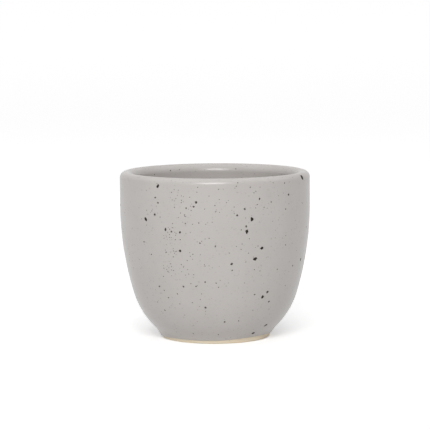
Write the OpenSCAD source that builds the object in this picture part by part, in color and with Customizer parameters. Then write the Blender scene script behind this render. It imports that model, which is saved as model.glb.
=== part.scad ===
// Handleless stoneware cup: one turned clay body with a bare foot, coated in glaze with iron specks.
// The axis of the cup is Z, and the foot stands on Z = 0. Lengths are in millimetres.

/* [Cup] */
// Height of the glazed cup over all
height = 79; // [60:0.5:100]
// Widest outside diameter of the glazed cup
rim_d = 90; // [78:0.5:112]
// Thickness of the clay wall at the lip, which is rounded over its full thickness
wall_t = 5.8; // [4:0.1:6.8]
// Share of that thickness in the outer rounding of the lip, with the rest in the inner one
lip_share = 0.42; // [0.35:0.01:0.6]
// Thickness of the fired glaze
glaze_t = 0.4; // [0.25:0.05:0.6]
// How far the outer glaze runs on inside the cup, below the rounding of the lip, to meet the liner glaze
seam_drop = 3; // [1:0.5:4]

/* [Outside curve] */
// Length of upright wall between the lip and the start of the curve
upright_h = 13; // [8:0.5:20]
// How far the slow upper curve turns, as a multiple of the lean of the whole curve
outer_turn = 1.1; // [0.7:0.05:1.4]
// Steepest lean of the wall from upright, where the belly meets the flare
flare_angle = 45; // [38:1:50]
// Radius of the hollow flare above the foot
flare_r = 15; // [10:0.5:20]

/* [Foot] */
// Diameter of the foot where its rounded edge ends and the flare starts
foot_d = 51.4; // [44:0.2:64]
// Lean of the wall from upright at the foot
foot_angle = 22; // [15:1:30]
// Radius of the rounded outer edge of the foot
foot_round = 1.2; // [0.8:0.1:1.8]
// Width of the foot ring, from the recess to the end of its flat face
foot_ring_w = 4.6; // [3.6:0.1:6]
// Radius of the rounded inner edge of the foot ring
ring_edge_r = 0.8; // [0.4:0.1:1]
// Depth of the recess under the foot
recess_depth = 2.4; // [2.2:0.1:3.2]
// Radius in the corner of the recess
recess_corner_r = 1.2; // [0.9:0.1:1.2]
// Height of bare clay between the rounded edge of the foot and the edge of the outer glaze
bare_h = 1.15; // [0.3:0.05:1.5]

/* [Inside] */
// Thickness of the clay floor over the recess
floor_t = 5.4; // [4:0.1:8]
// Diameter of the flat middle of the floor
floor_flat_d = 20; // [10:1:26]
// How far the slow upper curve turns, as a multiple of the lean of the whole curve
inner_turn = 0.6; // [0.4:0.05:0.9]

/* [Iron specks] */
// Size of the large specks as a multiple of their listed diameters
speck_scale = 1; // [0.5:0.1:1.5]

/* [Smoothness] */
// Largest distance between a curve and the short straight steps that follow it
curve_gap = 0.01; // [0.005:0.005:0.02]
// Fewest steps on a curve, however short
least_steps = 4; // [3:1:8]

/* [Hidden] */
$fn = 96;

// Points nearer to each other than this are one point
same_point = 0.001;

// Large specks: angle round the cup from the front, height as a share of the glazed wall, diameter.
// A share past 1 lies on the rounding of the lip.
specks = [
    [-44.5, 0.775, 1.7], [-35.5, 0.99, 1.6], [-30.5, 0.72, 1.2], [-21.5, 0.59, 1.2], [-11, 0.895, 1.1],
    [-7, 0.23, 1.0], [10, 0.51, 1.1], [19, 0.71, 1.7], [22, 0.785, 1.7], [25, 0.535, 1.7],
    [29, 0.60, 1.5], [33.5, 0.285, 1.5], [37, 0.315, 1.2], [40, 0.25, 0.9], [47.5, 0.085, 1.2],
    [49, 0.92, 1.0], [65, 1.015, 2.1], [69, 0.49, 1.3], [88, 0.64, 1.4], [104, 0.30, 1.1],
    [113, 0.82, 1.6], [127, 0.47, 0.9], [139, 0.66, 1.5], [151, 0.22, 1.2], [163, 0.92, 1.1],
    [176, 0.55, 1.7], [-171, 0.36, 1.0], [-158, 0.74, 1.4], [-144, 0.50, 1.1], [-130, 0.86, 1.6],
    [-121, 0.27, 1.0], [-108, 0.60, 1.7], [-95, 0.42, 1.2], [-88, 0.17, 1.0], [-82, 0.83, 1.0]
];

// Outer radius, lip and heights of the clay under its glaze
clay_r = rim_d / 2 - glaze_t;
inner_r = clay_r - wall_t;
lip_top = height - glaze_t;
lip_out_r = lip_share * wall_t;
lip_in_r = wall_t - lip_out_r;
wall_top = lip_top - lip_out_r;
curve_top = wall_top - upright_h;
floor_z = recess_depth + floor_t;

// Foot edge and flare: the flare is hollow, so its centre lies outside the clay
contact_r = foot_d / 2 - foot_round * cos(foot_angle);
flare_start = [foot_d / 2, foot_round * (1 - sin(foot_angle))];
flare_c = flare_start + flare_r * look(-foot_angle);
flare_end = flare_c - flare_r * look(-flare_angle);
line_angle = asin(sin(foot_angle) + bare_h / flare_r);
line_z = flare_start[1] + bare_h;
// The edge of a glaze coat rounds off over a length equal to its thickness
line_bead = arc_angle(glaze_t, flare_r);

// Length of the pin that cuts a speck out of the coat, clear of both its faces
pin_h = 4 * glaze_t;

// Recess under the foot
recess_r = contact_r - foot_ring_w;
recess_corner_c = [recess_r - recess_corner_r, recess_depth - recess_corner_r];
recess_bead = arc_angle(glaze_t, recess_corner_r);

// Two-arc curves of the outside and the inside of the wall
outer_run = [clay_r - flare_end[0], curve_top - flare_end[1]];
outer_slow = outer_turn * atan2(outer_run[0], outer_run[1]);
outer_radii = curve_radii(outer_run, outer_slow, flare_angle);
belly_c = flare_end - outer_radii[1] * look(-flare_angle);
inner_run = [inner_r - floor_flat_d / 2, curve_top - floor_z];
inner_slow = inner_turn * atan2(inner_run[0], inner_run[1]);
inner_radii = curve_radii(inner_run, inner_slow, 90);
bowl_c = [floor_flat_d / 2, floor_z + inner_radii[1]];

// A direction in the section, by its angle from outward
function look(angle) = [cos(angle), sin(angle)];

// The angle that a length takes up on an arc
function arc_angle(length, radius) = length / radius * 180 / PI;

// Radii of a slow and a quick arc that turn from upright to an angle over a given run
function curve_radii(run, slow, angle) =
    let (
        a = 1 - cos(slow),
        b = cos(slow) - cos(angle),
        c = sin(slow),
        d = sin(angle) - sin(slow)
    )
    [(run[0] * d - run[1] * b) / (a * d - b * c), (run[1] * a - run[0] * c) / (a * d - b * c)];

// An arc is a centre, a radius that is negative where the clay is hollow, the directions
// that its face looks in at the start and the end, and how a coat on it starts or ends
recess_arcs = [
    [recess_corner_c, -recess_corner_r, -90, recess_bead - 180, "even"],
    [recess_corner_c, -recess_corner_r, recess_bead - 180, -180, "fall"]
];
foot_arcs = [
    [[recess_r + ring_edge_r, ring_edge_r], ring_edge_r, -180, -90, "even"],
    [[contact_r, foot_round], foot_round, -90, -foot_angle, "even"],
    [flare_c, -flare_r, -foot_angle, -line_angle, "even"]
];
wall_arcs = [
    [flare_c, -flare_r, -line_angle, -line_angle - line_bead, "rise"],
    [flare_c, -flare_r, -line_angle - line_bead, -flare_angle, "even"],
    [belly_c, outer_radii[1], -flare_angle, -outer_slow, "even"],
    [[clay_r - outer_radii[0], curve_top], outer_radii[0], -outer_slow, 0, "even"]
];
lip_arcs = [
    [[clay_r - lip_out_r, wall_top], lip_out_r, 0, 90, "even"],
    [[inner_r + lip_in_r, lip_top - lip_in_r], lip_in_r, 90, 180, "even"]
];
inner_arcs = [
    [[inner_r - inner_radii[0], curve_top], -inner_radii[0], 180, 180 - inner_slow, "even"],
    [bowl_c, -inner_radii[1], 180 - inner_slow, 90, "even"]
];

// Steps that follow an arc closely enough
function arc_steps(arc) =
    max(least_steps, ceil(abs(arc[3] - arc[2]) / (2 * acos(1 - curve_gap / abs(arc[1])))));

// Points along arcs, lifted off the clay by the thickness of a coat
function along(arcs, coat = 0) = [
    for (arc = arcs)
        let (steps = arc_steps(arc), turn = arc[3] - arc[2])
            for (i = [0 : steps])
                let (
                    t = i / steps,
                    part = arc[4] == "rise" ? 1 - cos(90 * t) : arc[4] == "fall" ? sin(90 * t) : t,
                    lift = arc[4] == "rise" ? sin(90 * t) : arc[4] == "fall" ? cos(90 * t) : 1
                )
                arc[0] + (arc[1] + coat * lift) * look(arc[2] + turn * part)
];

function backwards(points) = [for (i = [len(points) - 1 : -1 : 0]) points[i]];

// An outline without points that repeat the one before
function clean(points) = [
    for (i = [0 : len(points) - 1])
        let (before = points[(i + len(points) - 1) % len(points)])
            if (norm(points[i] - before) > same_point) points[i]
];

// The outline between a stretch of clay and the coat on it
function coat_outline(coat_points, clay_points) = clean(concat(coat_points, backwards(clay_points)));

// Where the outer glaze ends and the liner glaze starts, inside the cup
function seam(coat = 0) = [inner_r - coat, lip_top - lip_in_r - seam_drop];

module turned(outline) {
    rotate_extrude() polygon(outline);
}

module clay_body() {
    color("#d9c9ad") turned(clean(concat(
        [[0, recess_depth]],
        along(recess_arcs),
        along(foot_arcs),
        along(wall_arcs),
        along(lip_arcs),
        along(inner_arcs),
        [[0, floor_z]]
    )));
}

// The outer coat from the glaze line up over the lip to the seam, before the specks
module outer_coat() {
    arcs = concat(wall_arcs, lip_arcs);
    turned(coat_outline(
        concat(along(arcs, glaze_t), [seam(glaze_t)]),
        concat(along(arcs), [seam()])
    ));
}

// A pin through the outer coat at each large speck, square to the wall
module speck_pins() {
    rows = [for (point = along(concat(wall_arcs, [lip_arcs[0]]), glaze_t)) [point[1], point[0]]];
    for (speck = specks) {
        z = line_z + speck[1] * (wall_top - line_z);
        lean = atan2(lookup(z + glaze_t, rows) - lookup(z - glaze_t, rows), 2 * glaze_t);
        rotate([0, 0, speck[0] - 90])
            translate([lookup(z, rows), 0, z])
            rotate([0, 90 + lean, 0])
            cylinder(d = speck_scale * speck[2], h = pin_h, center = true);
    }
}

module outer_glaze() {
    color("#bcb8b3") difference() {
        outer_coat();
        speck_pins();
    }
}

module liner_glaze() {
    color("#b4b0ab") turned(coat_outline(
        concat([seam(glaze_t)], along(inner_arcs, glaze_t), [[0, floor_z + glaze_t]]),
        concat([seam()], along(inner_arcs), [[0, floor_z]])
    ));
}

module foot_glaze() {
    color("#b8b4af") turned(coat_outline(
        concat([[0, recess_depth - glaze_t]], along(recess_arcs, glaze_t)),
        concat([[0, recess_depth]], along(recess_arcs))
    ));
}

module iron_specks() {
    color("#3d362f") intersection() {
        outer_coat();
        speck_pins();
    }
}

clay_body();
outer_glaze();
liner_glaze();
foot_glaze();
iron_specks();
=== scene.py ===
"""Handleless stoneware cup: the turned pieces, the speckled glaze and a plain studio stage."""

import collections
import math
import random

import bmesh
import bpy
from mathutils import Matrix, Quaternion, Vector, noise
from mathutils.bvhtree import BVHTree


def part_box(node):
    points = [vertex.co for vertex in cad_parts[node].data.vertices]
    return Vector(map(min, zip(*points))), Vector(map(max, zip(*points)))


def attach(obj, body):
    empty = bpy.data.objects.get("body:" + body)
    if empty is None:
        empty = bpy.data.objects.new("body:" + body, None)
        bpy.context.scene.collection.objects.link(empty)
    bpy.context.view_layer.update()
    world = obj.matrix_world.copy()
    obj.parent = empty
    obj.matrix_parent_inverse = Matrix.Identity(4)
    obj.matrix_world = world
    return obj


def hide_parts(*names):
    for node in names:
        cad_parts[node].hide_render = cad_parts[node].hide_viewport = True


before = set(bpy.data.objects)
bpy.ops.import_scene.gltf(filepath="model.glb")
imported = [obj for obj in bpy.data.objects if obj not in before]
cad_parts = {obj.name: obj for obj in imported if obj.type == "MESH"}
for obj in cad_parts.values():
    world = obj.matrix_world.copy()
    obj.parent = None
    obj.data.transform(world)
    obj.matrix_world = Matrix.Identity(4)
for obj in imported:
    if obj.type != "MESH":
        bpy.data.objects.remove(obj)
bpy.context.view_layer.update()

bl_info = {
    "name": "Speckled stoneware cup",
    "version": (1, 0, 0),
    "blender": (4, 5, 0),
    "location": "3D View > Sidebar > Cup",
    "description": "Builds a handleless stoneware cup, its speckled glaze and a plain stage",
    "category": "Add Mesh",
}

BODY = "root"
SUNK = "sunk"
WHITE = (1.0, 1.0, 1.0, 1.0)
MM = 0.001
PER_METRE = 1.0 / MM

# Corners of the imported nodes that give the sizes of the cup
OUTER_LOW, OUTER_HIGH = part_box("outer_glaze")
CLAY_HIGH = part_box("clay_body")[1]
LINER_LOW, LINER_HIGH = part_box("liner_glaze")
RECESS_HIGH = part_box("foot_glaze")[1]

# Points nearer than this are one point, and an arc takes at least one step for each turn of this angle
TOUCHING = 1e-3 * MM
COARSEST_TURN = math.radians(9)

# Longest steps along the section. The back of a coat lies on the clay, where it does not show
CLAY_STEP = 2 * MM
CLAY_FINE_STEP = 0.5 * MM
FOOT_STEP = 0.2 * MM
BEAD_STEP = 0.1 * MM
FLARE_STEP = 0.4 * MM
COAT_STEP = 0.9 * MM
COAT_BACK_STEP = 1.8 * MM
LINER_STEP = 1.2 * MM
LINER_BACK_STEP = 2.4 * MM
RECESS_STEP = 1.0 * MM

# Steps of a full spin round the axis
CLAY_ROUND = 240
COAT_ROUND = 256
RECESS_ROUND = 160

# Wheel waves: how near the axis there are none, and the scale of their noise per metre, finer upwards
WAVE_FREE_R = 5 * MM
WAVE_SCALE = Vector((28, 28, 130))

# Lower edge of the outer glaze: how far its tilt is turned round the cup, its waves, and the ring and the
# slice of noise that it wavers by
LINE_TILT_TURN = math.radians(9)
LINE_WAVES = 4
LINE_WAVES_TURN = math.radians(90)
LINE_NOISE_RING = 6.0
LINE_NOISE_SLICE = 4.7

# Large grains: degrees round the cup from the front, share of the glazed height, diameter in
# millimetres, length over width, and degrees that the long way leans to the right of upright
LARGE_GRAINS = (
    (-45.3, 0.775, 1.7, 1.2, -30), (-35.5, 0.985, 1.6, 1.4, 38), (-30.5, 0.72, 1.2, 1.6, -10),
    (-21.5, 0.59, 1.2, 1.1, 70), (-11, 0.895, 1.1, 1.1, 35), (-7, 0.23, 1.0, 1.0, 0),
    (10, 0.51, 1.1, 1.2, 40), (19, 0.71, 1.7, 1.4, 8), (22, 0.785, 1.7, 1.4, -4),
    (25, 0.535, 1.7, 1.25, 84), (29, 0.60, 1.5, 1.4, 76), (33.5, 0.285, 1.5, 1.1, 50),
    (37, 0.315, 1.2, 1.2, 20), (40, 0.25, 0.9, 1.1, 60), (47.5, 0.085, 1.5, 1.7, 50),
    (49, 0.92, 1.0, 1.1, 10), (65, 1.015, 2.1, 1.3, -8), (69, 0.49, 1.3, 1.3, 15),
    (88, 0.64, 1.4, 1.3, -30), (104, 0.30, 1.1, 1.1, 70), (113, 0.82, 1.6, 1.4, 12),
    (127, 0.47, 0.9, 1.2, -50), (139, 0.66, 1.5, 1.2, 80), (151, 0.22, 1.2, 1.5, 25),
    (163, 0.92, 1.1, 1.1, -15), (176, 0.55, 1.7, 1.3, 60), (-171, 0.36, 1.0, 1.0, 0),
    (-158, 0.74, 1.4, 1.4, -20), (-144, 0.50, 1.1, 1.2, 45), (-130, 0.86, 1.6, 1.1, 10),
    (-121, 0.27, 1.0, 1.6, 70), (-108, 0.60, 1.7, 1.2, -40), (-95, 0.42, 1.2, 1.3, 30),
    (-88, 0.17, 1.0, 1.4, -65), (-82, 0.83, 1.0, 1.0, 0),
)

# Smaller grains on the front: degrees from the front, height and diameter in millimetres
SMALL_GRAINS = (
    (-12.5, 66.3, 0.9), (-37.5, 69.8, 0.9), (-35.5, 67.5, 0.9), (-38, 62, 1.05), (-26.5, 54.6, 0.8),
    (-21, 54.4, 1.1), (-14, 64.6, 0.5), (-17, 65.6, 0.75), (18.5, 57, 0.95), (17.5, 65, 0.95),
    (13, 62.2, 0.9), (27, 69.4, 0.9), (10.5, 36.8, 0.65), (58, 36.3, 0.9), (-6.5, 31.3, 0.75),
    (-21, 28.9, 0.85), (0.5, 30.8, 0.65), (-12.5, 29.2, 0.65), (0, 48.1, 0.75), (-9, 49.6, 0.7),
    (7, 11.7, 0.95), (-39.5, 16.5, 0.75), (-33.5, 23, 0.75), (-39.5, 28.1, 0.85), (-36, 26.4, 0.6),
    (13.5, 77.1, 0.55), (38, 4.6, 1.6), (27, 24.6, 0.75), (36.5, 76.4, 0.5), (45.5, 75.8, 0.7),
    (25, 36.6, 0.5), (18, 12, 0.65), (-48, 48.7, 0.8), (-42.5, 43.1, 0.65), (-31, 44.7, 0.65),
    (-21, 51, 0.55), (-17.5, 58.5, 0.6), (-9.5, 58.9, 0.6), (-3.5, 51.9, 0.55), (-13.5, 44.3, 0.6),
    (-26, 25.2, 0.6), (2, 28.8, 0.5), (15.5, 55.5, 0.55), (8.5, 44.9, 0.5), (29, 35.8, 0.55),
    (42.5, 35.7, 0.65), (47.5, 46.9, 0.65), (-10, 75.2, 0.5), (0, 66.9, 0.5), (12.5, 75.6, 0.5),
    (21, 74.8, 0.55), (25.5, 66.9, 0.55), (35, 67.6, 0.65), (46.5, 63.7, 0.65), (64.5, 65.3, 0.6),
    (-6, 65.3, 0.45), (-21, 5.3, 0.65), (2.5, 5, 0.7), (-21.5, 78.7, 0.4),
)

# Grains on the inside of the lip: degrees from the front, height and diameter in millimetres
LIP_GRAINS = (
    (-146, 76.4, 0.65), (-153.5, 76.6, 0.5), (-130.5, 75.1, 0.6), (-88, 74.2, 0.8), (-61, 76.8, 0.55),
    (-34, 73.5, 0.9), (-12, 77.2, 0.5), (17, 74.6, 0.7), (48, 76.1, 0.6), (79, 73.8, 0.95),
    (119, 75.3, 0.4),
)

# Clusters of fine grains on the front: degrees from the front, height in millimetres, number of grains
CLUSTERS = (
    (-30, 38, 14), (-21.5, 72.5, 6), (-27, 69, 4), (-41, 64, 5), (-21, 65, 5), (-16.5, 65.5, 5),
    (3, 72.5, 3), (3, 64.5, 3), (-26, 55, 9), (10, 65, 4), (-29, 52, 8), (-17, 37, 6), (-25, 46, 9),
    (22, 72, 3), (30, 66, 3), (-15, 70, 2), (-18, 61, 3), (-12, 57, 3), (-9, 50, 4), (-16, 43, 4),
    (-8, 38, 3), (-15, 33, 3), (-10, 28, 2), (-13, 22, 3), (-7, 20, 3), (14, 50, 3), (24, 45, 3),
)

# Grades of grain: growth over the listed diameter, splits of the ball that it starts as, and raggedness
Grade = collections.namedtuple("Grade", "growth splits ragged")
LARGE = Grade(1.02, 3, 0.4)
SMALL = Grade(1.05, 2, 0.4)
FINE = Grade(1.0, 1, 0.3)

# Shape of a grain: scales of its lumps and share of the fine ones, least height of its crown and height as a
# share of its width, share of the crown under the glaze, and largest length over width where none is listed
LUMP_SCALE = 1.1
FINE_LUMP_SCALE = 2.7
FINE_LUMP_SHARE = 0.4
LEAST_CROWN = 0.05 * MM
CROWN_SHARE = 0.09
CROWN_SUNK = 0.25
LONGEST = 1.5

# How far the glaze veils a grain: at most, at no diameter, and how much less for each millimetre of diameter
VEIL_MOST = 0.8
VEIL_AT_NONE = 0.95
VEIL_PER_MM = 0.62

# Clusters: spread in degrees and in millimetres of height, least diameter in millimetres and its span
CLUSTER_SPREAD = 2.4
CLUSTER_RISE = 2.0
CLUSTER_LEAST = 0.34
CLUSTER_SPAN = 0.26

# Scattered grains: seed of the draws, number, and lowest and highest place, which is a share of the glazed
# height outside and the sine of the angle above the middle of the cup inside
Scatter = collections.namedtuple("Scatter", "seed count low high")
OUTER_SCATTER = Scatter(11, 340, 0.03, 1.0)
LINER_SCATTER = Scatter(23, 110, -0.75, 0.6)

# Loose groups of scattered grains: how many in a group, and spread in degrees and in height
GROUP_SIZES = (1, 1, 2, 4)
GROUP_SPREAD = 4
GROUP_RISE = 0.04

# Diameters of scattered grains in millimetres: the least and the span above it
OUTER_LEAST = 0.3
OUTER_SPAN = 0.6
FRONT_SPAN = 0.22
LINER_LEAST = 0.4
LINER_SPAN = 0.7

# The front: least cosine of the angle from the front, and share of scattered grains that is left out there
FRONT_COSINE = 0.3
FRONT_LEFT_OUT = 0.5

# The lamps: place, width and height in metres
Lamp = collections.namedtuple("Lamp", "place width height")
KEY_LAMP = Lamp((-0.08, -1.52, 0.97), 0.82, 0.62)
LEFT_LAMP = Lamp((-1.1, -0.35, 0.45), 0.9, 0.9)
TOP_LAMP = Lamp((0.0, 0.05, 0.8), 2.6, 1.0)

# The floor: half its width, and the place that the lamps light most
FLOOR_HALF = 30.0
BRIGHTEST = (0.0, -0.5, 0.0)

Arc = collections.namedtuple("Arc", "centre radius start end")


# Sizes, colours and stage settings
def length(name, description, default):
    """A length in metres that a user can change."""
    return bpy.props.FloatProperty(
        name=name, description=description, default=default, min=0.0, precision=5,
        subtype="DISTANCE", unit="LENGTH",
    )


def angle(name, description, degrees):
    """An angle that a user can change, with its default in degrees."""
    return bpy.props.FloatProperty(
        name=name, description=description, default=math.radians(degrees),
        subtype="ANGLE", unit="ROTATION",
    )


def share(name, description, default, highest=1.0):
    """A plain number that a user can change."""
    return bpy.props.FloatProperty(
        name=name, description=description, default=default, min=0.0, max=highest
    )


def colour(name, description, default):
    """A linear colour that a user can change."""
    return bpy.props.FloatVectorProperty(
        name=name, description=description, default=default, size=3, min=0.0, max=1.0, subtype="COLOR"
    )


def power(name, description, default):
    """A lamp's power in watts that a user can change."""
    return bpy.props.FloatProperty(
        name=name, description=description, default=default, min=0.0, unit="POWER"
    )


class CupSizes(bpy.types.PropertyGroup):
    """Sizes of the cup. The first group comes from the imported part."""

    rim_r: length("Rim radius", "Outside radius of the glazed cup", OUTER_HIGH.x)
    height: length("Height", "Height of the glazed cup", OUTER_HIGH.z)
    clay_r: length("Clay radius", "Outside radius of the clay under its glaze", CLAY_HIGH.x)
    inner_r: length("Inner radius", "Inside radius of the clay at the lip", LINER_HIGH.x)
    seam_z: length("Seam height", "Height where the outer glaze meets the liner glaze", LINER_HIGH.z)
    floor_z: length("Floor height", "Height of the clay floor inside", LINER_LOW.z)
    line_z: length("Glaze line", "Mean height of the lower edge of the outer glaze", OUTER_LOW.z)
    recess_r: length("Recess radius", "Radius of the recess under the foot", RECESS_HIGH.x)
    recess_depth: length("Recess depth", "Depth of the recess under the foot", RECESS_HIGH.z)

    upright_h: length("Upright wall", "Length of upright wall below the lip", 13 * MM)
    outer_turn: share("Outer turn", "Turn of the slow outer curve, in leans of the whole", 1.1, highest=2.0)
    flare_angle: angle("Flare angle", "Steepest lean of the wall, where the belly meets the flare", 45)
    flare_r: length("Flare radius", "Radius of the hollow flare above the foot", 15 * MM)
    foot_d: length("Foot diameter", "Diameter of the foot where the flare starts", 51.4 * MM)
    foot_angle: angle("Foot angle", "Lean of the wall from upright at the foot", 22)
    foot_round: length("Foot rounding", "Radius of the outer edge of the foot", 1.2 * MM)
    ring_edge_r: length("Ring edge", "Radius of the inner edge of the foot ring", 0.8 * MM)
    recess_corner_r: length("Recess corner", "Radius in the corner of the recess", 1.2 * MM)
    floor_flat_d: length("Flat floor", "Diameter of the flat middle of the floor", 20 * MM)
    inner_turn: share("Inner turn", "Turn of the slow inner curve, in leans of the whole", 0.6, highest=2.0)
    lip_share: share("Lip share", "Share of the wall's thickness in the outer rounding of the lip", 0.42)

    line_tilt: length("Line tilt", "Rise of the glaze line on the right and fall on the left", 0.73 * MM)
    line_wander: length("Line wander", "How far the glaze line swings in four long waves", 0.25 * MM)
    line_rough: length("Line roughness", "How far the glaze line wavers from place to place", 0.06 * MM)
    wall_wave: length("Wall wave", "Depth of the slight waves that the wheel leaves", 0.03 * MM)


class CupFinish(bpy.types.PropertyGroup):
    """Colours of the glaze, the clay and the specks."""

    glaze_pale: colour("Pale glaze", "Glaze where it lies thick", (0.528, 0.500, 0.481))
    glaze_deep: colour("Deep glaze", "Glaze where it lies thin", (0.493, 0.465, 0.443))
    smudge: colour("Smudge", "Glaze over a grain that lies deep", (0.402, 0.378, 0.363))
    veil: colour("Veiled speck", "Grain that shows through the glaze", (0.200, 0.185, 0.172))
    iron: colour("Iron", "Grain at the surface of the glaze", (0.014, 0.012, 0.010))
    rust: colour("Rust", "Rusty part of a large grain", (0.050, 0.037, 0.028))
    clay_pale: colour("Pale clay", "Bare fired clay", (0.900, 0.820, 0.645))
    clay_toast: colour("Toasted clay", "Bare clay that the fire has browned", (0.890, 0.750, 0.580))
    grit: colour("Grit", "Dark grain in the bare clay", (0.260, 0.190, 0.130))


class CupStage(bpy.types.PropertyGroup):
    """Camera, lights and floor."""

    distance: length("Distance", "From the camera to the point that it looks at", 1.1)
    aim_z: length("Aim height", "Height of the point on the axis that the camera looks at", 57.84 * MM)
    pitch: angle("Pitch", "How far the camera looks down", 6.034)
    roll: angle("Roll", "How far the camera leans to its right", 0.327)
    lens: bpy.props.FloatProperty(name="Lens", description="Focal length in millimetres", default=194.03)
    ambient: share("Ambient", "Strength of the light from all around", 0.05, highest=4.0)
    key_power: power("Key power", "Power of the lamp in front", 19.7)
    left_power: power("Left power", "Power of the lamp on the left", 0.67)
    top_power: power("Top power", "Power of the lamp overhead", 6.7)
    lift: share("Lift", "White that the far floor adds for the camera and in reflections", 0.95)
    lift_reach: length("Lift reach", "Distance over which the lamps' light on the floor falls off", 0.92)
    floor_grey: share("Floor grey", "How pale the floor is", 0.95)


# The section of the cup
def look(direction):
    """The unit vector in the section that an angle from outward gives."""
    return Vector((math.cos(direction), 0.0, math.sin(direction)))


def on_arc(arc, direction, lift=0.0):
    """The point of an arc whose face looks in a direction, lifted off the clay by a coat."""
    return arc.centre + (arc.radius + lift) * look(direction)


def curve_radii(across, up, slow, turn):
    """Radii of a slow and a quick arc that turn from upright to an angle over a given run."""
    a = 1 - math.cos(slow)
    b = math.cos(slow) - math.cos(turn)
    c = math.sin(slow)
    d = math.sin(turn) - math.sin(slow)
    whole = a * d - b * c
    return (across * d - up * b) / whole, (up * a - across * c) / whole


class CupSection:
    """The arcs of the cup's section. A radius is negative where the clay is hollow."""

    def __init__(self, sizes):
        half, full = math.pi / 2, math.pi
        self.glaze_t = sizes.rim_r - sizes.clay_r
        lip_top = sizes.height - self.glaze_t
        lip_out_r = sizes.lip_share * (sizes.clay_r - sizes.inner_r)
        lip_in_r = sizes.clay_r - sizes.inner_r - lip_out_r
        self.wall_top = lip_top - lip_out_r
        curve_top = self.wall_top - sizes.upright_h
        self.lip_out = Arc(Vector((sizes.clay_r - lip_out_r, 0, self.wall_top)), lip_out_r, 0.0, half)
        self.lip_in = Arc(Vector((sizes.inner_r + lip_in_r, 0, lip_top - lip_in_r)), lip_in_r, half, full)

        flare_start = Vector((sizes.foot_d / 2, 0, sizes.foot_round * (1 - math.sin(sizes.foot_angle))))
        flare_c = flare_start + sizes.flare_r * look(-sizes.foot_angle)
        line = math.asin(math.sin(sizes.foot_angle) + (sizes.line_z - flare_start.z) / sizes.flare_r)
        bead = self.glaze_t / sizes.flare_r
        contact_r = sizes.foot_d / 2 - sizes.foot_round * math.cos(sizes.foot_angle)
        foot_c = Vector((contact_r, 0, sizes.foot_round))
        self.foot_edge = Arc(foot_c, sizes.foot_round, -half, -sizes.foot_angle)
        self.bare_flare = Arc(flare_c, -sizes.flare_r, -sizes.foot_angle, -line)
        self.flare = Arc(flare_c, -sizes.flare_r, -line - bead, -sizes.flare_angle)
        self.line_bead = self.edge_bead(self.flare, -line - bead, -half)

        flare_end = on_arc(self.flare, -sizes.flare_angle)
        across, up = sizes.clay_r - flare_end.x, curve_top - flare_end.z
        slow = sizes.outer_turn * math.atan2(across, up)
        slow_r, belly_r = curve_radii(across, up, slow, sizes.flare_angle)
        belly_c = flare_end - belly_r * look(-sizes.flare_angle)
        self.belly = Arc(belly_c, belly_r, -sizes.flare_angle, -slow)
        self.side = Arc(Vector((sizes.clay_r - slow_r, 0, curve_top)), slow_r, -slow, 0.0)

        flat_r = sizes.floor_flat_d / 2
        across, up = sizes.inner_r - flat_r, curve_top - sizes.floor_z
        slow = sizes.inner_turn * math.atan2(across, up)
        slow_r, bowl_r = curve_radii(across, up, slow, half)
        self.inner_side = Arc(Vector((sizes.inner_r - slow_r, 0, curve_top)), -slow_r, full, full - slow)
        self.bowl = Arc(Vector((flat_r, 0, sizes.floor_z + bowl_r)), -bowl_r, full - slow, half)

        corner_r = sizes.recess_corner_r
        corner_c = Vector((sizes.recess_r - corner_r, 0, sizes.recess_depth - corner_r))
        corner_bead = self.glaze_t / corner_r
        self.corner = Arc(corner_c, -corner_r, -half, corner_bead - full)
        self.corner_end = Arc(corner_c, -corner_r, corner_bead - full, -full)
        self.corner_bead = self.edge_bead(self.corner, corner_bead - full, half)
        ring_c = Vector((sizes.recess_r + sizes.ring_edge_r, 0, sizes.ring_edge_r))
        self.ring_edge = Arc(ring_c, sizes.ring_edge_r, -full, -half)

    def edge_bead(self, arc, direction, quarter):
        """The quarter round that ends a coat at a direction on an arc."""
        start, end = sorted((direction, direction + quarter))
        return Arc(on_arc(arc, direction), self.glaze_t, start, end)


class Outline:
    """A line drawn in the section, one stretch after another, with bmesh operators."""

    def __init__(self, mesh, start):
        self.mesh = mesh
        self.tip = mesh.verts.new(start)

    def straight(self, place, step):
        """Runs straight to a place, in equal steps no longer than step."""
        run = Vector(place) - self.tip.co
        if run.length < TOUCHING:
            return
        count = max(1, math.ceil(run.length / step))
        for _ in range(count):
            made = bmesh.ops.extrude_vert_indiv(self.mesh, verts=[self.tip])
            self.tip = made["verts"][0]
            self.tip.co += run / count

    def turn(self, centre, swing, count):
        """Swings round a centre, anticlockwise where swing is positive."""
        made = bmesh.ops.spin(
            self.mesh, geom=[self.tip], cent=centre, axis=(0, -1, 0),
            angle=swing, steps=count, use_merge=False,
        )
        self.tip = next(part for part in made["geom_last"] if isinstance(part, bmesh.types.BMVert))

    def follow(self, arcs, lift, step, back=False):
        """Runs along arcs, lifted by a coat, forwards or back."""
        for arc in reversed(arcs) if back else arcs:
            start, end = (arc.end, arc.start) if back else (arc.start, arc.end)
            self.straight(on_arc(arc, start, lift), step)
            swing = end - start
            reach = abs(swing) * abs(arc.radius + lift)
            count = max(math.ceil(reach / step), math.ceil(abs(swing) / COARSEST_TURN))
            self.turn(arc.centre, swing, count)

    def spin_round(self, count):
        """Turns the drawn line about the axis of the cup into a closed skin."""
        mesh = self.mesh
        bmesh.ops.remove_doubles(mesh, verts=mesh.verts, dist=TOUCHING)
        bmesh.ops.spin(
            mesh, geom=mesh.verts[:] + mesh.edges[:], cent=(0, 0, 0), axis=(0, 0, 1),
            angle=math.tau, steps=count, use_merge=True,
        )
        bmesh.ops.remove_doubles(mesh, verts=mesh.verts, dist=TOUCHING)
        bmesh.ops.recalc_face_normals(mesh, faces=mesh.faces)
        for face in mesh.faces:
            face.smooth = True


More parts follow.
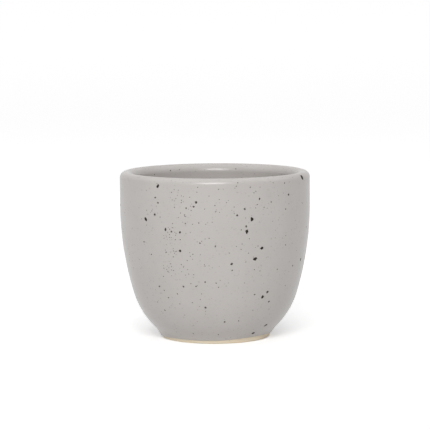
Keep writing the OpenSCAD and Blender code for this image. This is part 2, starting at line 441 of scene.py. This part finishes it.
# Materials
def add_node(tree, kind, values=None, **settings):
    """Adds a node with its settings, and fills its inputs with values or from other sockets."""
    made = tree.nodes.new(kind)
    for name, setting in settings.items():
        setattr(made, name, setting)
    for name, value in (values or {}).items():
        if isinstance(value, bpy.types.NodeSocket):
            tree.links.new(value, made.inputs[name])
        else:
            made.inputs[name].default_value = value
    return made


def math_node(tree, operation, first, second=0.0):
    """The result of one sum on two values or sockets."""
    return add_node(tree, "ShaderNodeMath", {0: first, 1: second}, operation=operation).outputs[0]


def mix_colours(tree, factor, first, second):
    """A colour between two, by a factor."""
    made = add_node(tree, "ShaderNodeMix", {0: factor, 6: first, 7: second}, data_type="RGBA")
    return made.outputs[2]


def opaque(rgb):
    """A colour with the fourth number that a socket takes."""
    return (*rgb, 1.0)


def new_group(name, inputs, outputs):
    """An empty shader node group with named sockets, and its input and output nodes."""
    group = bpy.data.node_groups.new(name, "ShaderNodeTree")
    for label, kind in inputs:
        group.interface.new_socket(name=label, in_out="INPUT", socket_type=kind)
    for label in outputs:
        group.interface.new_socket(name=label, in_out="OUTPUT", socket_type="NodeSocketFloat")
    return group, group.nodes.new("NodeGroupInput").outputs, group.nodes.new("NodeGroupOutput").inputs


def soft_patches_group():
    """Cloudy patches of a given size in millimetres, as a value between a low and a high one."""
    group, given, result = new_group(
        "soft_patches",
        [("Position", "NodeSocketVector"), ("Size", "NodeSocketFloat"), ("Low", "NodeSocketFloat"),
         ("High", "NodeSocketFloat")],
        ["Value"],
    )
    scale = math_node(group, "DIVIDE", 1.0, given["Size"])
    cloud = add_node(
        group, "ShaderNodeTexNoise",
        {"Vector": given["Position"], "Scale": scale, "Detail": 3.0, "Roughness": 0.55},
    )
    spread = add_node(
        group, "ShaderNodeMapRange",
        {"Value": cloud.outputs["Fac"], "From Min": 0.3, "From Max": 0.7,
         "To Min": given["Low"], "To Max": given["High"]},
    )
    group.links.new(spread.outputs["Result"], result["Value"])
    return group


def speck_scatter_group():
    """Scattered ragged specks, as a mask from the faintest value up to 1. Lengths are in millimetres."""
    group, given, result = new_group(
        "speck_scatter",
        [("Position", "NodeSocketVector"), ("Spacing", "NodeSocketFloat"), ("Radius", "NodeSocketFloat"),
         ("Share", "NodeSocketFloat"), ("Ragged", "NodeSocketFloat"), ("Faintest", "NodeSocketFloat")],
        ["Mask"],
    )
    least_size = 0.3
    core_share = 0.55
    faint_power = 3.0
    middle = (0.5, 0.5, 0.5)
    fray = add_node(
        group, "ShaderNodeTexNoise", {"Vector": given["Position"], "Scale": 2.6, "Detail": 1.0}
    )
    centred = add_node(
        group, "ShaderNodeVectorMath", {0: fray.outputs["Color"], 1: middle}, operation="SUBTRACT"
    )
    pushed = add_node(
        group, "ShaderNodeVectorMath", {0: centred.outputs[0], "Scale": given["Ragged"]},
        operation="SCALE",
    )
    frayed = add_node(
        group, "ShaderNodeVectorMath", {0: given["Position"], 1: pushed.outputs[0]}, operation="ADD"
    )
    scale = math_node(group, "DIVIDE", 1.0, given["Spacing"])
    cells = add_node(group, "ShaderNodeTexVoronoi", {"Vector": frayed.outputs[0], "Scale": scale})
    chance = add_node(group, "ShaderNodeSeparateColor", {0: cells.outputs["Color"]})
    kept = math_node(group, "LESS_THAN", chance.outputs[0], given["Share"])
    grown = math_node(group, "MULTIPLY_ADD", chance.outputs[1], 1.0 - least_size)
    grown.node.inputs[2].default_value = least_size
    radius = math_node(group, "MULTIPLY", math_node(group, "MULTIPLY", given["Radius"], scale), grown)
    core = math_node(group, "MULTIPLY", radius, core_share)
    inside = add_node(
        group, "ShaderNodeMapRange",
        {"Value": cells.outputs["Distance"], "From Min": radius, "From Max": core,
         "To Min": 0.0, "To Max": 1.0},
        interpolation_type="SMOOTHSTEP",
    )
    faint = math_node(group, "POWER", chance.outputs[2], faint_power)
    strength = add_node(
        group, "ShaderNodeMapRange", {"Value": faint, "To Min": given["Faintest"], "To Max": 1.0}
    )
    strong = math_node(group, "MULTIPLY", kept, strength.outputs["Result"])
    group.links.new(math_node(group, "MULTIPLY", inside.outputs["Result"], strong), result["Mask"])
    return group


def shared_group(name):
    """A shared effect, built the first time that a material asks for it."""
    makers = {"soft_patches": soft_patches_group, "speck_scatter": speck_scatter_group}
    return bpy.data.node_groups.get(name) or makers[name]()


def effect(tree, name, position, **values):
    """Places a shared effect in a material with its own values, and returns its output."""
    made = add_node(tree, "ShaderNodeGroup", {"Position": position, **values}, node_tree=shared_group(name))
    return made.outputs[0]


def new_material(name):
    """A material with its shader node, and the place on the piece in millimetres."""
    material = bpy.data.materials.new(name)
    material.use_nodes = True
    tree = material.node_tree
    shader = tree.nodes["Principled BSDF"]
    coordinates = add_node(tree, "ShaderNodeTexCoord")
    position = add_node(
        tree, "ShaderNodeVectorMath", {0: coordinates.outputs["Object"], "Scale": PER_METRE},
        operation="SCALE",
    )
    return material, tree, shader, position.outputs[0]


def glaze_material(finish):
    """Satin grey glaze: cloudy tone, veiled and bare fine specks, and a faint orange-peel surface."""
    material, tree, shader, position = new_material("speckled_glaze")
    clouds = effect(tree, "soft_patches", position, Size=13.0, Low=0.25, High=0.75)
    grain = effect(tree, "soft_patches", position, Size=1.6, Low=-0.06, High=0.06)
    tone = math_node(tree, "ADD", clouds, grain)
    tone.node.use_clamp = True
    body = mix_colours(tree, tone, opaque(finish.glaze_deep), opaque(finish.glaze_pale))
    smudged = effect(
        tree, "speck_scatter", position, Spacing=1.4, Radius=0.5, Share=0.6, Ragged=0.35, Faintest=0.4
    )
    body = mix_colours(tree, smudged, body, opaque(finish.smudge))
    crowd = effect(tree, "soft_patches", position, Size=15.0, Low=0.15, High=0.75)
    veiled = effect(
        tree, "speck_scatter", position, Spacing=1.7, Radius=0.5, Share=crowd, Ragged=0.35, Faintest=0.15
    )
    body = mix_colours(tree, veiled, body, opaque(finish.veil))
    fine = effect(
        tree, "speck_scatter", position, Spacing=2.6, Radius=0.3, Share=crowd, Ragged=0.25, Faintest=0.3
    )
    body = mix_colours(tree, fine, body, opaque(finish.rust))
    tree.links.new(body, shader.inputs["Base Color"])
    rough = effect(tree, "soft_patches", position, Size=4.0, Low=0.28, High=0.33)
    tree.links.new(rough, shader.inputs["Roughness"])
    peel = effect(tree, "soft_patches", position, Size=2.5, Low=0.0, High=1.0)
    bump = add_node(tree, "ShaderNodeBump", {"Strength": 1.0, "Distance": 0.005 * MM, "Height": peel})
    tree.links.new(bump.outputs["Normal"], shader.inputs["Normal"])
    shader.inputs["IOR"].default_value = 1.5
    return material


def clay_material(finish):
    """Bare fired stoneware: sandy grain, dark grit and a toasted tone."""
    material, tree, shader, position = new_material("bare_stoneware")
    toast = effect(tree, "soft_patches", position, Size=9.0, Low=0.0, High=0.7)
    body = mix_colours(tree, toast, opaque(finish.clay_pale), opaque(finish.clay_toast))
    sand = effect(tree, "soft_patches", position, Size=0.35, Low=0.0, High=0.3)
    body = mix_colours(tree, sand, body, opaque(finish.clay_toast))
    grit = effect(
        tree, "speck_scatter", position, Spacing=0.9, Radius=0.18, Share=0.25, Ragged=0.25, Faintest=0.3
    )
    body = mix_colours(tree, grit, body, opaque(finish.grit))
    tree.links.new(body, shader.inputs["Base Color"])
    rough = effect(tree, "soft_patches", position, Size=0.6, Low=0.78, High=0.95)
    tree.links.new(rough, shader.inputs["Roughness"])
    tooth = effect(tree, "soft_patches", position, Size=0.3, Low=0.0, High=1.0)
    bump = add_node(tree, "ShaderNodeBump", {"Strength": 1.0, "Distance": 0.04 * MM, "Height": tooth})
    tree.links.new(bump.outputs["Normal"], shader.inputs["Normal"])
    return material


def iron_material(finish):
    """Dark iron grain, rusty in places, fused into the glaze."""
    material, tree, shader, position = new_material("iron_grain")
    rust = effect(tree, "soft_patches", position, Size=0.8, Low=0.0, High=0.6)
    body = mix_colours(tree, rust, opaque(finish.iron), opaque(finish.rust))
    sunk = add_node(tree, "ShaderNodeAttribute", attribute_name=SUNK)
    body = mix_colours(tree, sunk.outputs["Fac"], body, opaque(finish.veil))
    tree.links.new(body, shader.inputs["Base Color"])
    rough = effect(tree, "soft_patches", position, Size=0.4, Low=0.35, High=0.6)
    tree.links.new(rough, shader.inputs["Roughness"])
    blister = effect(tree, "soft_patches", position, Size=0.35, Low=0.0, High=1.0)
    bump = add_node(tree, "ShaderNodeBump", {"Strength": 1.0, "Distance": 0.03 * MM, "Height": blister})
    tree.links.new(bump.outputs["Normal"], shader.inputs["Normal"])
    shader.inputs["Specular IOR Level"].default_value = 0.2
    return material


def finish_named(name, maker, context):
    """A material by name, made the first time that a piece asks for it."""
    return bpy.data.materials.get(name) or maker(context.scene.cup_finish)


# Pieces
def new_piece(name, mesh, material):
    """Makes an object of a mesh, which rides on the cup and takes the given material."""
    data = bpy.data.meshes.new(name)
    mesh.to_mesh(data)
    mesh.free()
    data.materials.append(material)
    piece = bpy.data.objects.new(name, data)
    bpy.context.scene.collection.objects.link(piece)
    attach(piece, BODY)
    return piece


def wheel_waves(mesh, depth):
    """Moves a turned skin in and out by slight uneven waves, as the wheel leaves them."""
    for vert in mesh.verts:
        out = Vector((vert.co.x, vert.co.y, 0.0))
        if out.length < WAVE_FREE_R:
            continue
        wave = noise.noise(vert.co * WAVE_SCALE)
        vert.co += out.normalized() * depth * wave


def mark_seam(mesh, height):
    """Marks the edges of a flat end face at a height as sharp, so that the skin beside it shades alone."""
    for edge in mesh.edges:
        if all(abs(vert.co.z - height) < TOUCHING for vert in edge.verts):
            edge.smooth = False


def glaze_edge_shift(sizes, turn):
    """How far the outer glaze's lower edge lies above its mean height, at an angle from the right."""
    from_front = turn + math.pi / 2
    lean = math.sin(from_front + LINE_TILT_TURN)
    swing = math.sin(LINE_WAVES * from_front - LINE_WAVES_TURN)
    ring = LINE_NOISE_RING * look(turn)
    waver = noise.noise(Vector((ring.x, ring.z, LINE_NOISE_SLICE)))
    return sizes.line_tilt * lean + sizes.line_wander * swing + sizes.line_rough * waver


def waver_edge(mesh, sizes, section):
    """Lets the lower edge of the outer glaze slide up and down along the flare of the clay."""
    flare = section.flare
    top = on_arc(flare, flare.end, section.glaze_t).z
    low, high = section.bare_flare.end, flare.end
    for vert in mesh.verts:
        if vert.co.z > top:
            continue
        turn = math.atan2(vert.co.y, vert.co.x)
        reach = math.hypot(vert.co.x, vert.co.y)
        arm = Vector((reach - flare.centre.x, 0.0, vert.co.z - flare.centre.z))
        facing = math.atan2(-arm.z, -arm.x)
        weight = min(1.0, max(0.0, (facing - high) / (low - high)))
        slide = -weight * glaze_edge_shift(sizes, turn) / (math.cos(low) * abs(flare.radius))
        moved = flare.centre + Quaternion((0, -1, 0), slide) @ arm
        vert.co = Vector((moved.x * math.cos(turn), moved.x * math.sin(turn), moved.z))


class CUP_OT_clay_body(bpy.types.Operator):
    """Builds the turned clay body, which shows at the bare foot"""

    bl_idname = "cup.clay_body"
    bl_label = "Clay body"

    def execute(self, context):
        sizes = context.scene.cup_sizes
        section = CupSection(sizes)
        mesh = bmesh.new()
        outline = Outline(mesh, (0.0, 0.0, sizes.recess_depth))
        outline.follow([section.corner, section.corner_end, section.ring_edge], 0.0, CLAY_FINE_STEP)
        outline.follow([section.foot_edge, section.bare_flare], 0.0, FOOT_STEP)
        outline.follow([section.flare], 0.0, CLAY_FINE_STEP)
        outline.follow([section.belly, section.side, section.lip_out, section.lip_in], 0.0, CLAY_STEP)
        outline.follow([section.inner_side, section.bowl], 0.0, CLAY_STEP)
        outline.straight((0.0, 0.0, sizes.floor_z), CLAY_STEP)
        outline.spin_round(CLAY_ROUND)
        finish = finish_named("bare_stoneware", clay_material, context)
        piece = new_piece("turned_clay", mesh, finish)
        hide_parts("clay_body")
        return {"FINISHED"}


class CUP_OT_outer_glaze(bpy.types.Operator):
    """Builds the outer glaze, from its wavering lower edge up over the lip to the seam inside"""

    bl_idname = "cup.outer_glaze"
    bl_label = "Outer glaze"

    def execute(self, context):
        sizes = context.scene.cup_sizes
        section = CupSection(sizes)
        wall = [section.flare, section.belly, section.side, section.lip_out, section.lip_in]
        edge = on_arc(section.bare_flare, section.bare_flare.end)
        mesh = bmesh.new()
        outline = Outline(mesh, edge)
        outline.follow([section.line_bead], 0.0, BEAD_STEP)
        outline.follow(wall[:1], section.glaze_t, FLARE_STEP)
        outline.follow(wall[1:], section.glaze_t, COAT_STEP)
        outline.straight((sizes.inner_r - section.glaze_t, 0.0, sizes.seam_z), COAT_STEP)
        outline.straight((sizes.inner_r, 0.0, sizes.seam_z), COAT_STEP)
        outline.follow(wall, 0.0, COAT_BACK_STEP, back=True)
        outline.straight(edge, FLARE_STEP)
        outline.spin_round(COAT_ROUND)
        mark_seam(mesh, sizes.seam_z)
        waver_edge(mesh, sizes, section)
        wheel_waves(mesh, sizes.wall_wave)
        finish = finish_named("speckled_glaze", glaze_material, context)
        piece = new_piece("outer_coat", mesh, finish)
        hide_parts("outer_glaze")
        return {"FINISHED"}


class CUP_OT_liner_glaze(bpy.types.Operator):
    """Builds the liner glaze, from the seam below the lip down over the floor"""

    bl_idname = "cup.liner_glaze"
    bl_label = "Liner glaze"

    def execute(self, context):
        sizes = context.scene.cup_sizes
        section = CupSection(sizes)
        inside = [section.inner_side, section.bowl]
        seam = (sizes.inner_r - section.glaze_t, 0.0, sizes.seam_z)
        mesh = bmesh.new()
        outline = Outline(mesh, seam)
        outline.follow(inside, section.glaze_t, LINER_STEP)
        outline.straight((0.0, 0.0, sizes.floor_z + section.glaze_t), LINER_STEP)
        outline.straight((0.0, 0.0, sizes.floor_z), LINER_STEP)
        outline.follow(inside, 0.0, LINER_BACK_STEP, back=True)
        outline.straight((sizes.inner_r, 0.0, sizes.seam_z), LINER_BACK_STEP)
        outline.straight(seam, LINER_BACK_STEP)
        outline.spin_round(COAT_ROUND)
        mark_seam(mesh, sizes.seam_z)
        wheel_waves(mesh, sizes.wall_wave)
        finish = finish_named("speckled_glaze", glaze_material, context)
        piece = new_piece("liner_coat", mesh, finish)
        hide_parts("liner_glaze")
        return {"FINISHED"}


class CUP_OT_foot_glaze(bpy.types.Operator):
    """Builds the patch of glaze in the recess under the foot"""

    bl_idname = "cup.foot_glaze"
    bl_label = "Foot glaze"

    def execute(self, context):
        sizes = context.scene.cup_sizes
        section = CupSection(sizes)
        mesh = bmesh.new()
        outline = Outline(mesh, (0.0, 0.0, sizes.recess_depth - section.glaze_t))
        outline.follow([section.corner], section.glaze_t, RECESS_STEP)
        outline.follow([section.corner_bead], 0.0, BEAD_STEP)
        outline.follow([section.corner, section.corner_end], 0.0, RECESS_STEP, back=True)
        outline.straight((0.0, 0.0, sizes.recess_depth), RECESS_STEP)
        outline.spin_round(RECESS_ROUND)
        finish = finish_named("speckled_glaze", glaze_material, context)
        piece = new_piece("foot_coat", mesh, finish)
        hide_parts("foot_glaze")
        return {"FINISHED"}


def skin_of(name):
    """A search tree over a built piece, to find its surface."""
    mesh = bmesh.new()
    mesh.from_mesh(bpy.data.objects[name].data)
    tree = BVHTree.FromBMesh(mesh)
    mesh.free()
    return tree


def new_grains():
    """An empty mesh for grains, which notes how deep each lies under the glaze."""
    mesh = bmesh.new()
    mesh.verts.layers.float.new(SUNK)
    return mesh


def add_grain(mesh, spot, facing, grade, diameter, longer, lean):
    """Adds one flat ragged grain of a diameter in millimetres. The glaze veils small grains more."""
    made = bmesh.ops.create_icosphere(mesh, subdivisions=grade.splits, radius=1.0)
    grain = made["verts"]
    size = grade.growth * diameter * MM
    width = size / math.sqrt(longer)
    layer = mesh.verts.layers.float[SUNK]
    veil = min(VEIL_MOST, max(0.0, VEIL_AT_NONE - VEIL_PER_MM * size * PER_METRE))
    offset = spot * PER_METRE
    for vert in grain:
        vert[layer] = veil
        swell = noise.noise(vert.co * LUMP_SCALE + offset)
        swell += FINE_LUMP_SHARE * noise.noise(vert.co * FINE_LUMP_SCALE + offset)
        vert.co *= 1.0 + grade.ragged * swell
    across = Vector((0.0, 0.0, 1.0)).cross(facing).normalized()
    turned = Matrix((across, facing.cross(across), facing)).transposed().to_4x4()
    crown = max(LEAST_CROWN, CROWN_SHARE * width)
    shape = Matrix.Diagonal((width / 2, longer * width / 2, crown, 1.0))
    leant = Matrix.Rotation(-lean, 4, "Z")
    place = Matrix.Translation(spot - CROWN_SUNK * crown * facing)
    bmesh.ops.transform(mesh, matrix=place @ turned @ leant @ shape, verts=grain)


def add_loose_grain(mesh, spot, facing, grade, diameter, draw):
    """Adds a grain whose length over width and lean are drawn by chance."""
    longer = draw.uniform(1.0, LONGEST)
    lean = draw.uniform(0.0, math.pi)
    add_grain(mesh, spot, facing, grade, diameter, longer, lean)


def outward(degrees):
    """The level unit vector at an angle from the front, which looks along -Y."""
    way = math.radians(degrees - 90)
    return Vector((math.cos(way), math.sin(way), 0.0))


def on_wall(skin, reach, degrees, height, inside=False):
    """The place and the facing of the outer glaze at an angle from the front and a height, or in the lip."""
    out = outward(degrees)
    axis = Vector((0.0, 0.0, height))
    spot, facing, _, _ = skin.ray_cast(axis, out) if inside else skin.ray_cast(axis + reach * out, -out)
    if spot is None:
        raise RuntimeError("a grain misses the outer glaze")
    return spot, facing


def scattered(draw, scatter):
    """Places for grains that lie alone or in loose groups: degrees from the front, and how high."""
    low, high = scatter.low, scatter.high
    places = []
    while len(places) < scatter.count:
        degrees, rise = draw.uniform(-180, 180), draw.uniform(low, high)
        for _ in range(draw.choice(GROUP_SIZES)):
            aside = degrees + draw.gauss(0, GROUP_SPREAD)
            places.append((aside, min(high, max(low, rise + draw.gauss(0, GROUP_RISE)))))
    return places[:scatter.count]


def close_grains(name, mesh, context):
    """Turns a mesh of grains into a piece."""
    bmesh.ops.recalc_face_normals(mesh, faces=mesh.faces)
    for face in mesh.faces:
        face.smooth = True
    return new_piece(name, mesh, finish_named("iron_grain", iron_material, context))


class CUP_OT_iron_specks(bpy.types.Operator):
    """Builds the dark iron grains that lie in the outer glaze"""

    bl_idname = "cup.iron_specks"
    bl_label = "Iron specks"

    def execute(self, context):
        sizes = context.scene.cup_sizes
        section = CupSection(sizes)
        skin = skin_of("outer_coat")
        reach = 2 * sizes.rim_r
        rise = section.wall_top - sizes.line_z
        draw = random.Random(OUTER_SCATTER.seed)
        mesh = new_grains()
        for degrees, part, diameter, longer, lean in LARGE_GRAINS:
            spot, facing = on_wall(skin, reach, degrees, sizes.line_z + part * rise)
            add_grain(mesh, spot, facing, LARGE, diameter, longer, math.radians(lean))
        for rows, inside in ((SMALL_GRAINS, False), (LIP_GRAINS, True)):
            for degrees, height, diameter in rows:
                spot, facing = on_wall(skin, reach, degrees, height * MM, inside)
                add_loose_grain(mesh, spot, facing, SMALL, diameter, draw)
        for degrees, height, count in CLUSTERS:
            for _ in range(count):
                aside = degrees + draw.gauss(0, CLUSTER_SPREAD)
                spot, facing = on_wall(skin, reach, aside, (height + draw.gauss(0, CLUSTER_RISE)) * MM)
                diameter = CLUSTER_LEAST + CLUSTER_SPAN * draw.random()
                add_loose_grain(mesh, spot, facing, FINE, diameter, draw)
        for degrees, part in scattered(draw, OUTER_SCATTER):
            front = math.cos(math.radians(degrees)) > FRONT_COSINE
            if front and draw.random() < FRONT_LEFT_OUT:
                continue
            spot, facing = on_wall(skin, reach, degrees, sizes.line_z + part * rise)
            diameter = OUTER_LEAST + (FRONT_SPAN if front else OUTER_SPAN) * draw.random() ** 2
            add_loose_grain(mesh, spot, facing, FINE, diameter, draw)
        piece = close_grains("iron_grains", mesh, context)
        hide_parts("iron_specks")
        return {"FINISHED"}


class CUP_OT_liner_specks(bpy.types.Operator):
    """Builds the dark grains that lie in the liner glaze"""

    bl_idname = "cup.liner_specks"
    bl_label = "Liner specks"

    def execute(self, context):
        sizes = context.scene.cup_sizes
        skin = skin_of("liner_coat")
        middle = Vector((0.0, 0.0, 0.5 * sizes.height))
        draw = random.Random(LINER_SCATTER.seed)
        mesh = new_grains()
        for degrees, rise in scattered(draw, LINER_SCATTER):
            aim = outward(degrees)
            aim.z = rise / math.sqrt(1.0 - rise * rise)
            spot, facing, _, _ = skin.ray_cast(middle, aim.normalized())
            if spot is None:
                continue
            diameter = LINER_LEAST + LINER_SPAN * draw.random() ** 2
            add_loose_grain(mesh, spot, facing, FINE, diameter, draw)
        close_grains("liner_grains", mesh, context)
        return {"FINISHED"}


# Stage
def any_view_ray(tree):
    """1 for rays from the camera, in reflections and through glass, and 0 for the rest."""
    path = add_node(tree, "ShaderNodeLightPath")
    seen = math_node(tree, "MAXIMUM", path.outputs["Is Camera Ray"], path.outputs["Is Glossy Ray"])
    return math_node(tree, "MAXIMUM", seen, path.outputs["Is Transmission Ray"])


class CUP_OT_stage(bpy.types.Operator):
    """Sets up the floor, the light and the camera"""

    bl_idname = "cup.stage"
    bl_label = "Stage"

    def execute(self, context):
        stage = context.scene.cup_stage
        self.lay_floor(context, stage)
        self.light(context, stage)
        self.set_camera(context, stage)
        context.scene.view_settings.view_transform = "Standard"
        return {"FINISHED"}

    def lay_floor(self, context, stage):
        """A wide pale floor that keeps the cup's shadow."""
        mesh = bmesh.new()
        bmesh.ops.create_grid(mesh, x_segments=1, y_segments=1, size=FLOOR_HALF)
        data = bpy.data.meshes.new("floor")
        mesh.to_mesh(data)
        mesh.free()
        floor = bpy.data.objects.new("floor", data)
        context.scene.collection.objects.link(floor)
        material = bpy.data.materials.new("pale_floor")
        material.use_nodes = True
        tree = material.node_tree
        shader = tree.nodes["Principled BSDF"]
        shader.inputs["Base Color"].default_value = opaque([stage.floor_grey] * 3)
        shader.inputs["Roughness"].default_value = 1.0
        shader.inputs["Specular IOR Level"].default_value = 0.0
        place = add_node(tree, "ShaderNodeTexCoord").outputs["Object"]
        away = add_node(tree, "ShaderNodeVectorMath", {0: place, 1: BRIGHTEST}, operation="DISTANCE")
        reached = math_node(tree, "DIVIDE", away.outputs["Value"], -stage.lift_reach)
        fall = math_node(tree, "EXPONENT", reached)
        white = add_node(tree, "ShaderNodeMapRange", {"Value": fall, "To Min": stage.lift, "To Max": 0.0})
        seen = math_node(tree, "MULTIPLY", any_view_ray(tree), white.outputs["Result"])
        lift = add_node(tree, "ShaderNodeEmission", {"Strength": seen})
        both = add_node(tree, "ShaderNodeAddShader", {0: shader.outputs[0], 1: lift.outputs[0]})
        tree.links.new(both.outputs[0], tree.nodes["Material Output"].inputs["Surface"])
        data.materials.append(material)

    def light(self, context, stage):
        """Even light from all around, and soft lamps in front, on the left and overhead."""
        world = bpy.data.worlds.new("studio")
        world.use_nodes = True
        tree = world.node_tree
        around = tree.nodes["Background"]
        around.inputs["Color"].default_value = WHITE
        around.inputs["Strength"].default_value = stage.ambient
        seen = add_node(tree, "ShaderNodeBackground", {"Color": WHITE, "Strength": 1.0})
        mixed = add_node(
            tree, "ShaderNodeMixShader", {0: any_view_ray(tree), 1: around.outputs[0], 2: seen.outputs[0]}
        )
        tree.links.new(mixed.outputs[0], tree.nodes["World Output"].inputs["Surface"])
        context.scene.world = world
        self.add_lamp(context, "key", stage.key_power, KEY_LAMP)
        self.add_lamp(context, "left", stage.left_power, LEFT_LAMP)
        self.add_lamp(context, "top", stage.top_power, TOP_LAMP)

    def add_lamp(self, context, name, watts, form):
        """A soft lamp of a given place, width and height, which looks at the middle of the cup."""
        lamp = bpy.data.lights.new(name, "AREA")
        lamp.shape = "RECTANGLE"
        lamp.size = form.width
        lamp.size_y = form.height
        lamp.energy = watts
        lit = bpy.data.objects.new(name, lamp)
        lit.location = form.place
        lit.visible_camera = False
        middle = Vector((0.0, 0.0, 0.5 * context.scene.cup_sizes.height))
        lit.rotation_euler = (middle - lit.location).to_track_quat("-Z", "Y").to_euler()
        context.scene.collection.objects.link(lit)

    def set_camera(self, context, stage):
        """A camera at the photograph's viewing angle."""
        data = bpy.data.cameras.new("camera")
        data.lens = stage.lens
        camera = bpy.data.objects.new("camera", data)
        back = Vector((0.0, -math.cos(stage.pitch), math.sin(stage.pitch)))
        camera.location = Vector((0.0, 0.0, stage.aim_z)) + stage.distance * back
        facing = (-back).to_track_quat("-Z", "Y") @ Quaternion((0, 0, 1), -stage.roll)
        camera.rotation_euler = facing.to_euler()
        context.scene.collection.objects.link(camera)
        context.scene.camera = camera


class CUP_PT_build(bpy.types.Panel):
    """Lists the steps that build the cup"""

    bl_idname = "CUP_PT_build"
    bl_label = "Stoneware cup"
    bl_space_type = "VIEW_3D"
    bl_region_type = "UI"
    bl_category = "Cup"

    def draw(self, context):
        for step in STEPS:
            self.layout.operator(step.bl_idname)


STEPS = (
    CUP_OT_clay_body,
    CUP_OT_outer_glaze,
    CUP_OT_liner_glaze,
    CUP_OT_foot_glaze,
    CUP_OT_iron_specks,
    CUP_OT_liner_specks,
    CUP_OT_stage,
)
CLASSES = (CupSizes, CupFinish, CupStage, *STEPS, CUP_PT_build)


def register():
    """Registers the classes and the settings that they use."""
    for each in CLASSES:
        bpy.utils.register_class(each)
    bpy.types.Scene.cup_sizes = bpy.props.PointerProperty(type=CupSizes)
    bpy.types.Scene.cup_finish = bpy.props.PointerProperty(type=CupFinish)
    bpy.types.Scene.cup_stage = bpy.props.PointerProperty(type=CupStage)


def unregister():
    """Removes the settings and the classes."""
    del bpy.types.Scene.cup_stage
    del bpy.types.Scene.cup_finish
    del bpy.types.Scene.cup_sizes
    for each in reversed(CLASSES):
        bpy.utils.unregister_class(each)


def main():
    """Builds the cup and its stage."""
    register()
    bpy.ops.cup.clay_body()
    bpy.ops.cup.outer_glaze()
    bpy.ops.cup.liner_glaze()
    bpy.ops.cup.foot_glaze()
    bpy.ops.cup.iron_specks()
    bpy.ops.cup.liner_specks()
    bpy.ops.cup.stage()


if __name__ == "__main__":
    main()
